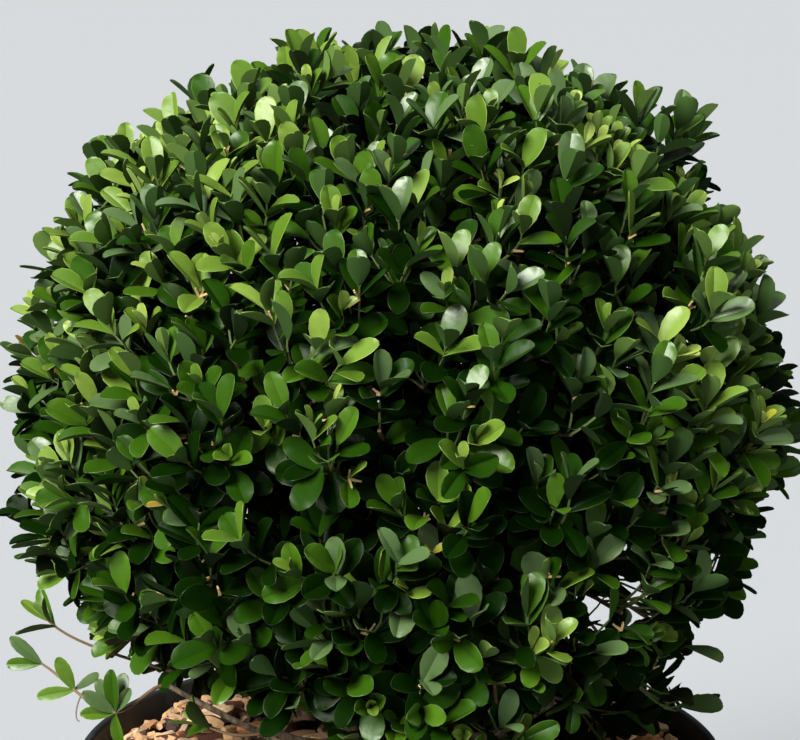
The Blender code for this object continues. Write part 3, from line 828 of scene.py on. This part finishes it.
# Leaf tops, from the darkest green to the lightest, then yellow, bluish and bronze. The light greens are new
# growth; the darkest are partly painted shade, dealt to leaves in hollows, deep inside and low on their shoots.
TINTS = (
    (0.0024, 0.0115, 0.0004, 1),
    (0.0088, 0.0340, 0.0008, 1),
    (0.0215, 0.0660, 0.0020, 1),
    (0.0400, 0.1000, 0.0036, 1),
    (0.0660, 0.1340, 0.0090, 1),
    (0.1010, 0.1740, 0.0170, 1),
    (0.1520, 0.2320, 0.0330, 1),
    (0.2320, 0.3180, 0.0600, 1),
    (0.2600, 0.2500, 0.0200, 1),
    (0.0640, 0.1120, 0.0370, 1),
    (0.2100, 0.1350, 0.0260, 1),
)
YELLOW, BLUISH, BRONZE = 8, 9, 10
# Leaf margins for each tone class, paler than the blade; the pale ones are partly a painted highlight where the
# rolled edge catches the light, and the darkest is painted shade for shaded leaves.
EDGES = (
    (0.009, 0.020, 0.003, 1),
    (0.060, 0.105, 0.020, 1),
    (0.170, 0.245, 0.045, 1),
    (0.380, 0.450, 0.100, 1),
)
# Olive undersides for each tone class; the darkest is painted shade for shaded leaves.
BACKS = (
    (0.008, 0.020, 0.003, 1),
    (0.036, 0.080, 0.016, 1),
    (0.084, 0.150, 0.030, 1),
    (0.180, 0.265, 0.060, 1),
)
LEAF_GLOSS = (0.04, 0.10, 0.26, 0.36, 0.40, 0.40, 0.38, 0.34, 0.25, 0.44, 0.25)
EDGE_GLOSS = 0.25


def tone_class(tint):
    """Which edge and back go with a tint, from dark to light; class 0 goes with the painted-shade tints."""
    return 0 if tint < 2 else 1 if tint < 4 or tint == BLUISH else 2 if tint < 7 else 3


leaf_finishes = []
for k, colour in enumerate(TINTS):
    finish = Finish(f"leaf_{k}", colour, 0.37 if tone_class(k) < 2 else 0.42)
    finish.inputs["Specular IOR Level"].default_value = LEAF_GLOSS[k]
    finish.bump(finish.noise(420, 3), 0.16, 0.0006)
    leaf_finishes.append(finish.material)
for kind, colours, roughness in (("edge", EDGES, 0.5), ("back", BACKS, 0.6)):
    for k, colour in enumerate(colours):
        finish = Finish(f"leaf_{kind}_{k}", colour, roughness)
        finish.inputs["Specular IOR Level"].default_value = EDGE_GLOSS
        leaf_finishes.append(finish.material)

OUTER, INNER, TRAILING = 0, 1, 2
PAIR_DEPTHS = (0.0, 0.0060, 0.0135, 0.0215, 0.0300)
GROWING = ((14, 0.52), (32, 0.84), (46, 1.0), (58, 1.0), (68, 1.0))
CLIPPED = ((32, 0.95), (46, 1.0), (60, 1.0), (72, 0.95))
NARROWER = 0.70
BLUISH_SHARE = 0.25
COLOURED_TIP_SHARE = 0.06
SHOOT_THICK, SHOOT_THIN = 0.00075, 0.00050
STUB_SHARE = 0.22
STUB_LENGTH = (0.003, 0.0065)
STUB_THICK, STUB_THIN = 0.0009, 0.0005
DEEP_INSIDE = 0.72
SIDEWAYS_FROM = (0.2, 0.1, -0.97)
leaves = []


def add_leaf(draw, place, along, spread, turn, length, tint, kind):
    """Notes a leaf that leaves a shoot at this spread and turn, with a shape of its own."""
    half = length * draw.uniform(0.240, 0.300) * (NARROWER if kind == TRAILING else 1)
    sun = draw.uniform(0, 0.5)
    cup, bend, fold = draw.uniform(0.18, 0.50), draw.gauss(-0.03, 0.09), draw.uniform(0.04, 0.26)
    leaves.append((*place, *along, turn, spread, sun, length, half, cup, bend, fold, tint, kind))


def freshness_and_painted_light(direction, draw):
    """How light a spray's new leaves are: the new growth's own colour, lighter towards the top and the -X side,
    where the key light falls, which is partly painted light.
    """
    patch = noise.noise(direction * 3.1 + Vector((0.4, 2.2, 5.1)))
    # The lean to the top and away from +X lightens the side the key light falls on: partly painted light.
    return 0.375 + 0.24 * patch + 0.11 * direction.z - 0.06 * direction.x + draw.gauss(0, 0.12)


def leafy_shoot(draw, path, fresh_and_lit, growing, kind, most=5, painted_shade_and_light=0):
    """Opposite pairs from the shoot's tip down, each turned a right angle from the last, and older and darker
    the lower
    they stand: partly their own deeper green, partly painted shade, as the lower pairs stand deeper in the
    crown.
    A further painted shade, given in tint steps, darkens them still more; where it is below 0 it is painted
    light."""
    total = sum((b - a).length for a, b in zip(path, path[1:]))
    twist = draw.uniform(0, math.pi)
    for i, (depth, (degrees, size)) in enumerate(zip(PAIR_DEPTHS[:most], GROWING if growing else CLIPPED)):
        if depth > total * 0.92:
            break
        place, along = point_on(path, max(0, 1 - depth / total))
        age = i + (0 if growing else 1.2)
        # Each older pair steps the tint down faster than age alone darkens a leaf: painted shade for pairs
        # lower in the crown.
        tint = int(max(0, min(7.4, 7.4 * fresh_and_lit + 2.7 - 1.7 * age - painted_shade_and_light + draw.gauss(0, 0.6))))
        if 1 < tint < 5 and draw.random() < BLUISH_SHARE:
            tint = BLUISH
        if growing and i == 0 and draw.random() < COLOURED_TIP_SHARE:
            tint, size = draw.choice((YELLOW, BRONZE)), size * 0.8
        for half_turn in (0, math.pi):
            turn = twist + half_turn + i * math.pi / 2 + draw.gauss(0, 0.16)
            spread = math.radians(degrees) + draw.gauss(0, 0.14)
            length = LEAF_LENGTH * size * draw.uniform(0.84, 1.14)
            add_leaf(draw, place, along, spread, turn, length, tint, kind)


dry_points, dry_faces = [], []
spray_fresh_and_lit = [freshness_and_painted_light(direction, draw) for _, _, direction in sprays]
for path, parent, painted_shade_and_light in shoots:
    add_twig(green_points, green_faces, path, SHOOT_THICK, SHOOT_THIN, 4)
    fresh_and_lit = spray_fresh_and_lit[parent] + draw.gauss(0, 0.07)
    leafy_shoot(draw, path, fresh_and_lit, draw.random() < 0.15 + 0.5 * fresh_and_lit, OUTER, painted_shade_and_light=painted_shade_and_light)
    if draw.random() < STUB_SHARE:
        node, along = point_on(path, draw.uniform(0.55, 0.98))
        for _ in range(draw.randint(1, 3)):
            end = node + (wander(draw, 0.6) + along * 0.7).normalized() * draw.uniform(*STUB_LENGTH)
            add_twig(dry_points, dry_faces, [node, end], STUB_THICK, STUB_THIN, 4)
for paths, count in ((sprays, 3), (branchlets, 8), (branches, 10)):
    for path, _, direction in paths:
        twist = draw.uniform(0, math.pi)
        for i in range(count * 2):
            place, along = point_on(path, 0.25 + 0.70 * (i // 2) / count)
            turn = twist + i * math.pi + (i // 2) * math.pi / 2
            length = LEAF_LENGTH * draw.uniform(0.9, 1.15)
            if draw.random() > SPARSE_INNER * sparseness(place):
                # Inner leaves take dark tints, the darkest deep inside the crown: partly older leaves' own dark
                # green, partly painted shade.
                deep = (place - CENTRE).length < BALL_RADIUS * DEEP_INSIDE
                tint = draw.choice((0, 0, 1)) if deep else draw.choice((1, 2, 2))
                add_leaf(draw, place, along, draw.uniform(0.8, 1.3), turn, length, tint, INNER)


# Trailing shoot: the one that escaped the shears. It runs out over the rim, carries a fan of leaves at its
# lowest place and turns up at its end. A bare twig, a dry stalk and a low twig over the chips are near it.
SPRIG_FORK = Vector((-0.141, -0.052, 0.3085))
SPRIG_TIP = Vector((-0.178, -0.040, 0.3300))
SPRIG_THICK = LOW_BOUGH_RADIUS * 0.30
FAN_LEAVES = ((-50, -0.3, 0.95), (-27, 0.1, 0.90), (-4, -0.2, 1.12), (13, 0.15, 0.95), (30, -0.1, 0.80),
              (-86, -0.35, 0.85), (172, -0.1, 0.78))
END_LEAVES = ((-46, -0.1, 0.98), (-93, 0.1, 0.85))
NEXT_LEAVES = ((-24, -0.1, 0.92), (-97, -0.15, 0.90), (60, 0.4, 0.7))


def frontal(degrees, forward):
    """A direction at an angle from straight up, towards +X in the frontal plane, leaning back or forward."""
    turn = math.radians(degrees)
    return Vector((math.sin(turn), forward, math.cos(turn))).normalized()


def add_faced_leaf(draw, place, heading, facing, length, tint):
    """Notes a leaf with its own heading, whose upper side faces this way."""
    across = heading.cross(Vector(SIDEWAYS_FROM)).normalized()
    turn = math.atan2(-facing.dot(heading.cross(across)), -facing.dot(across))
    add_leaf(draw, place, heading, 0, turn, length, tint, TRAILING)


sprig_start = sprig_path[-1] + (sprig_path[-1] - sprig_path[-2]).normalized() * GAP
leave = sprig_start + (sprig_path[-1] - sprig_path[-2]).normalized() * 0.009
dip = bezier(sprig_start, leave, SPRIG_FORK + Vector((0.009, 0.002, -0.001)), SPRIG_FORK, 7)
leave = SPRIG_FORK + Vector((-0.012, -0.001, 0.001))
turn_up = bezier(SPRIG_FORK, leave, SPRIG_TIP + Vector((0.012, -0.002, -0.007)), SPRIG_TIP, 9)
sprig_points, sprig_faces = [], []
add_twig(sprig_points, sprig_faces, dip + turn_up[1:], SPRIG_THICK, SPRIG_THICK * 0.55, 8)
stalk_start = SPRIG_FORK.lerp(SPRIG_TIP, 0.42)
stalk_end = stalk_start + Vector((-0.002, -0.004, -0.014))
leave = stalk_start + Vector((-0.003, 0, -0.002))
stalk = bezier(stalk_start, leave, stalk_end - Vector((0.004, 0, 0)), stalk_end, 8)
add_twig(sprig_points, sprig_faces, stalk, 0.0005, 0.0003, 5)
for node, rows in (
    (SPRIG_FORK, FAN_LEAVES),
    (SPRIG_TIP, END_LEAVES),
    (point_on(turn_up, 0.55)[0], NEXT_LEAVES),
):
    for degrees, forward, size in rows:
        facing = Vector((draw.uniform(-0.5, 0.3), -1, draw.uniform(0.2, 0.9)))
        tint = draw.choice((2, 3, 4, BLUISH, BLUISH))
        add_faced_leaf(draw, node, frontal(degrees, forward), facing, LEAF_LENGTH * size, tint)

BARE_TWIGS = (
    ((-0.112, -0.030, 0.322), (-0.150, -0.032, 0.334), (-0.168, -0.030, 0.340), (-0.176, -0.034, 0.352)),
    ((-0.058, -0.058, 0.303), (-0.074, -0.060, 0.297), (-0.088, -0.058, 0.298), (-0.101, -0.056, 0.306)),
)
for row in BARE_TWIGS:
    ways = [Vector(place) for place in row]
    start = branchlets[nearest(ways[0], branchlets)][0][-1]
    path = bezier(start, ways[0].lerp(start, 0.4), ways[0].lerp(start, 0.2), ways[0], 4)
    path += bezier(ways[0], ways[1], ways[2], ways[3], 10)[1:]
    add_twig(sprig_points, sprig_faces, path, 0.0011, 0.0006, 6)
    leafy_shoot(draw, path, 0.5, True, TRAILING, 3)


# Blades: the noted leaves are given their shapes all at once. Those that pass through one another or a stem
# are turned aside over several rounds, and what still crosses after the last is left out.
LEAVES_MEET = 0.019
STEMS_MEET = 0.016
SETTLE_ROUNDS = 8
PIECE_LEAVES = 2400


def blade_width(share):
    """Half-width of the blade at a share of its length: widest beyond its middle, and blunt at the tip."""
    share = np.clip(share, 0, 1)
    return np.maximum(PETIOLE, 2.436 * share**0.85 * (1 - share) ** 0.5)


class Blades:
    """All the leaves as arrays, and the way that each of them points."""

    def __init__(self, rows):
        table = np.array(rows)
        self.root, self.shoot = table[:, 0:3], table[:, 3:6]
        self.turn, self.spread, self.sun, self.length, self.half = table[:, 6:11].T.copy()
        self.cup, self.bend, self.fold, self.tint, self.kind = table[:, 11:16].T
        self.sun[self.kind == TRAILING] *= 0.3
        self.point()

    def point(self):
        """Each leaf leaves its shoot, faces along it, and twists a little to the light."""
        across = np.cross(self.shoot, SIDEWAYS_FROM)
        across /= np.linalg.norm(across, axis=1)[:, None]
        other = np.cross(self.shoot, across)
        outward = across * np.cos(self.turn)[:, None] + other * np.sin(self.turn)[:, None]
        cos, sin = np.cos(self.spread)[:, None], np.sin(self.spread)[:, None]
        self.heading = self.shoot * cos + outward * sin
        radial = self.root - np.array(CENTRE)
        radial /= np.linalg.norm(radial, axis=1)[:, None]
        face = self.shoot * sin - outward * cos + (radial * 0.5 + np.array(UP) * 0.8) * self.sun[:, None]
        face -= self.heading * (face * self.heading).sum(1)[:, None]
        self.face = face / np.linalg.norm(face, axis=1)[:, None]
        self.side = np.cross(self.face, self.heading)
        self.middle = self.root + self.heading * self.length[:, None] * 0.58

    def lift(self, i, share, across):
        """Height of a blade above its own level, at a share of its length and of its half-width."""
        cupped = (self.cup[i] * across**2 + self.fold[i] * abs(across)) * self.half[i] * blade_width(share)
        return self.bend[i] * self.length[i] * np.clip(share, 0, 1) ** 2 + cupped

    def at(self, i, share, across, drop=0.0):
        """The point of each blade i at a share of its length and a share of its width there."""
        out = across * self.half[i] * blade_width(share)
        up = self.lift(i, share, across) - drop
        return (self.root[i] + self.heading[i] * (share * self.length[i])[:, None]
                + self.side[i] * out[:, None] + self.face[i] * up[:, None])

    def pierced(self, i, points):
        """Which blades i are crossed by the line through these points, given as one array for each point."""
        crossed = np.zeros(len(i), bool)
        before = None
        for point in points:
            away = point - self.root[i]
            share = (away * self.heading[i]).sum(1) / self.length[i]
            width = self.half[i] * blade_width(share)
            across = (away * self.side[i]).sum(1) / width
            height = (away * self.face[i]).sum(1) - self.lift(i, share, np.clip(across, -1.3, 1.3))
            if before:
                part = before[2] / (before[2] - height + 1e-12)
                share_there = before[0] + (share - before[0]) * part
                across_there = before[1] + (across - before[1]) * part
                inside = (share_there > 0.14) & (share_there < 0.98) & (abs(across_there) < 0.92)
                crossed |= inside & (before[2] * height < 0)
            before = (share, across, height)
        return crossed

    def outline(self, i):
        one_side = ((0.30, -1), (0.62, -1), (0.90, -1))
        rim = [(0.16, 0), *one_side, (0.98, 0), *((share, 1) for share, _ in one_side[::-1]), (0.16, 0)]
        return [self.at(i, np.full(len(i), share), across) for share, across in rim]


def pairs_within(reach, movers, middles, others):
    """Every mover with each other that stands within this reach of its middle."""
    tree = KDTree(len(others))
    for k, place in enumerate(others):
        tree.insert(place, k)
    tree.balance()
    found = [(i, k) for i in movers for _, k, _ in tree.find_range(middles[i], reach)]
    return np.array(found).T if found else np.empty((2, 0), int)


def crossings(blades, stems, chosen):
    """The chosen leaves and others that pass through each other, the leaves that a stem pierces, and how
    often each leaf is in either."""
    starts, ends = stems
    i, k = pairs_within(LEAVES_MEET, chosen, blades.middle, blades.middle)
    i, k = i[i != k], k[i != k]
    crossed = blades.pierced(i, blades.outline(k)) | blades.pierced(k, blades.outline(i))
    by_stem, piece = pairs_within(STEMS_MEET, chosen, blades.middle, (starts + ends) / 2)
    by_stem = by_stem[blades.pierced(by_stem, (starts[piece], ends[piece]))]
    count = np.bincount(np.concatenate((i[crossed], by_stem)), minlength=len(blades.root))
    return i[crossed], k[crossed], by_stem, count


def settle(blades, stems, rounds):
    """Turns and tilts each leaf that passes through another or a stem, and keeps a turn that clears it of
    some. It returns the leaves to leave out, so that none of the rest do."""
    stirred = np.random.default_rng(8)
    everything = np.arange(len(blades.root))
    for attempt in range(rounds):
        i, k, by_stem, count = crossings(blades, stems, everything)
        later = np.unique(np.concatenate((i[i > k], by_stem)))
        movers = later[blades.kind[later] != TRAILING]
        kept = blades.turn[movers].copy(), blades.spread[movers].copy()
        slack = 0.25 + 0.06 * attempt
        blades.turn[movers] += stirred.normal(0, slack, len(movers))
        spread = blades.spread[movers] + stirred.normal(0, slack * 0.5, len(movers))
        blades.spread[movers] = np.clip(spread, 0.1, 1.6)
        blades.point()
        now = crossings(blades, stems, movers)[3]
        worse = now[movers] >= count[movers]
        blades.turn[movers[worse]] = kept[0][worse]
        blades.spread[movers[worse]] = kept[1][worse]
        blades.point()
    i, k, by_stem, count = crossings(blades, stems, everything)
    left_out = set(by_stem.tolist())
    touching = {}
    for a, b in zip(i.tolist(), k.tolist()):
        touching.setdefault(a, []).append(b)
    for a in sorted(touching, key=lambda leaf: -count[leaf]):
        if blades.kind[a] != TRAILING and any(b not in left_out for b in touching[a]):
            left_out.add(a)
    return [leaf for leaf in left_out if blades.kind[leaf] != TRAILING]


stems = [pair for path, *_ in shoots + sprays + branchlets for pair in zip(path, path[1:])]
blades = Blades(leaves)
left_out = settle(blades, [np.array(side) for side in zip(*stems)], SETTLE_ROUNDS)
everything = np.arange(len(leaves))
tips = blades.at(everything, np.full(len(leaves), 0.98), 0)
along_blade = [blades.at(everything, np.full(len(leaves), share), 0) for share in (0.15, 0.5, 0.85)]
keep = np.ones(len(leaves), bool)
keep[left_out] = False
for k in np.flatnonzero(keep & (blades.kind != TRAILING)):
    too_low = tips[k][2] < floor_under(Vector(tips[k]))
    keep[k] = not too_low and not any(in_chink(Vector(p[k]), CHINK_CLEAR_LEAF) for p in along_blade)


def blade_pattern(stations, columns):
    """Faces of one blade, as rows of rings round it, and the kind of each: blade, edge or back."""
    ring = len(columns) + 1
    pattern, kinds = [], []
    for j in range(len(stations) - 1):
        for k in range(ring):
            n = (k + 1) % ring
            pattern.append((j * ring + k, j * ring + ring + k, j * ring + ring + n, j * ring + n))
            is_back = k >= len(columns) - 1
            is_edge = len(columns) > 3 and k in (0, len(columns) - 2)
            kinds.append(2 if is_back else 1 if is_edge else 0)
    last = (len(stations) - 1) * ring
    for k in range(ring // 2 - 1):
        cap = (k, k + 1, ring - k - 2, ring - k - 1)
        pattern += [cap, tuple(last + i for i in cap[::-1])]
        kinds += [2, 2]
    return np.array(pattern), np.array(kinds)


def add_leaves(name, chosen, stations, columns):
    """Joins the chosen leaves into one piece. Each has a ring of points at every station along it."""
    ring = len(columns) + 1
    points = np.empty((len(chosen), len(stations), ring, 3))
    for j, station in enumerate(stations):
        for k, column in enumerate((*columns, 0)):
            notch = TIP_NOTCH if j == len(stations) - 1 and column == 0 else 0
            rolled = blades.half[chosen] * EDGE_ROLL * (abs(column) == 1)
            drop = LEAF_THICKNESS if k == len(columns) else rolled
            points[:, j, k] = blades.at(chosen, np.full(len(chosen), station - notch), column, drop)
    pattern, kinds = blade_pattern(stations, columns)
    faces = pattern[None] + (np.arange(len(chosen)) * len(stations) * ring)[:, None, None]
    tint = blades.tint[chosen].astype(int)
    tone = np.array([tone_class(t) for t in range(len(TINTS))])[tint]
    slots = np.stack((tint, len(TINTS) + tone, len(TINTS) + len(EDGES) + tone))[kinds].T
    piece = add_object(name, points.reshape(-1, 3), faces.reshape(-1, 4))
    piece.data.polygons.foreach_set("material_index", slots.ravel().astype(np.int32))
    for finish in leaf_finishes:
        piece.data.materials.append(finish)
    piece.data.shade_smooth()
    piece.data.set_sharp_from_angle(angle=math.radians(50))
    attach(piece, "root")
    return piece


foliage_nodes = ["ball_foliage"] + [f"skirt_foliage_{k + 1}" for k in range(SKIRTS)]
outer = np.flatnonzero(keep & (blades.kind == OUTER))
for k, first in enumerate(range(0, len(outer), PIECE_LEAVES)):
    piece = add_leaves(f"leaves_{k + 1}", outer[first:first + PIECE_LEAVES], STATIONS, COLUMNS)
    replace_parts(piece, *foliage_nodes)
inner = np.flatnonzero(keep & (blades.kind == INNER))
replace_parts(add_leaves("inner_leaves", inner, PLAIN_STATIONS, PLAIN_COLUMNS), *foliage_nodes)
trailing = np.flatnonzero(blades.kind == TRAILING)
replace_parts(add_leaves("trailing_leaves", trailing, STATIONS, COLUMNS), "sprig_foliage")


# Twigs: the brown wood of branches and sprays, cut square where the shears passed, the smooth green stems of
# the year's shoots, and the papery scales and dry stubs that stay on at their nodes.
TWIG_BROWN = (0.150, 0.095, 0.048, 1)
TWIG_GREEN = (0.075, 0.110, 0.024, 1)
TWIG_DRY = (0.480, 0.330, 0.140, 1)
for name, points, faces, colour, slot, nodes_replaced in (
    ("brown_twigs", brown_points, brown_faces, TWIG_BROWN, "bark", foliage_nodes),
    ("green_shoots", green_points, green_faces, TWIG_GREEN, "foliage", foliage_nodes),
    ("dry_stubs", dry_points, dry_faces, TWIG_DRY, "foliage", foliage_nodes),
    ("trailing_twigs", sprig_points, sprig_faces, TWIG_BROWN, "foliage", ["sprig_foliage"]),
):
    finish = Finish(name, colour, 0.7)
    finish.bump(finish.noise(1200, 4), 0.4, 0.0004)
    twigs = add_object(name, points, faces)
    twigs.data.materials.append(finish.material)
    twigs.data.shade_smooth()
    twigs.data.set_sharp_from_angle(angle=math.radians(60))
    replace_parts(twigs, *nodes_replaced)
    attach(twigs, "root")


# Stage: a pale floor, and the camera in front, a little above. The key light comes from the upper left, and
# weaker ones from above, from the right and from behind.
CAMERA_LENS = 144
bpy.ops.mesh.primitive_plane_add(size=60)
floor = bpy.context.active_object
floor.name = "studio_floor"
floor.data.materials.append(Finish("studio_paper", (0.315, 0.3286, 0.3526, 1), 0.9).material)
floor.visible_glossy = False

back = Vector((0, -math.cos(FRONT_TILT), math.sin(FRONT_TILT)))
camera_up = Vector((0, math.sin(FRONT_TILT), math.cos(FRONT_TILT)))
camera_data = bpy.data.cameras.new("camera")
camera_data.lens = CAMERA_LENS
camera_data.sensor_width = 36
camera = bpy.data.objects.new("camera", camera_data)
camera.location = CENTRE + back * FRONT_DISTANCE + camera_up * FRONT_LIFT
camera.rotation_euler = (-back).to_track_quat("-Z", "Y").to_euler()
bpy.context.scene.collection.objects.link(camera)
bpy.context.scene.camera = camera


def add_light(name, towards_light, spread, strength, colour, glints):
    """A broad, even studio light from far away, so that the floor is lit alike all over."""
    light = bpy.data.lights.new(name, "SUN")
    light.angle = math.radians(spread)
    light.energy = strength
    light.color = colour
    lamp = bpy.data.objects.new(name, light)
    lamp.rotation_euler = Vector(towards_light).to_track_quat("Z", "Y").to_euler()
    lamp.visible_glossy = glints
    bpy.context.scene.collection.objects.link(lamp)


add_light("key", (-0.52, -0.66, 0.66), 30, 8.7, (1.0, 0.985, 0.93), True)
add_light("top", (0.15, 0.10, 1.0), 110, 0.30, (0.96, 0.98, 1.0), False)
add_light("fill", (0.80, -0.45, 0.38), 60, 0.95, (0.93, 1.0, 0.97), False)
add_light("sky", (-0.12, 0.42, 0.90), 50, 0.70, (0.90, 0.96, 1.0), True)
world = bpy.data.worlds.new("studio")
world.use_nodes = True
bpy.context.scene.world = world
surroundings = world.node_tree.nodes["Background"].inputs
surroundings["Color"].default_value = (0.90, 0.95, 1.0, 1)
surroundings["Strength"].default_value = 0.045
world.cycles_visibility.glossy = False
bpy.context.scene.view_settings.view_transform = "Standard"
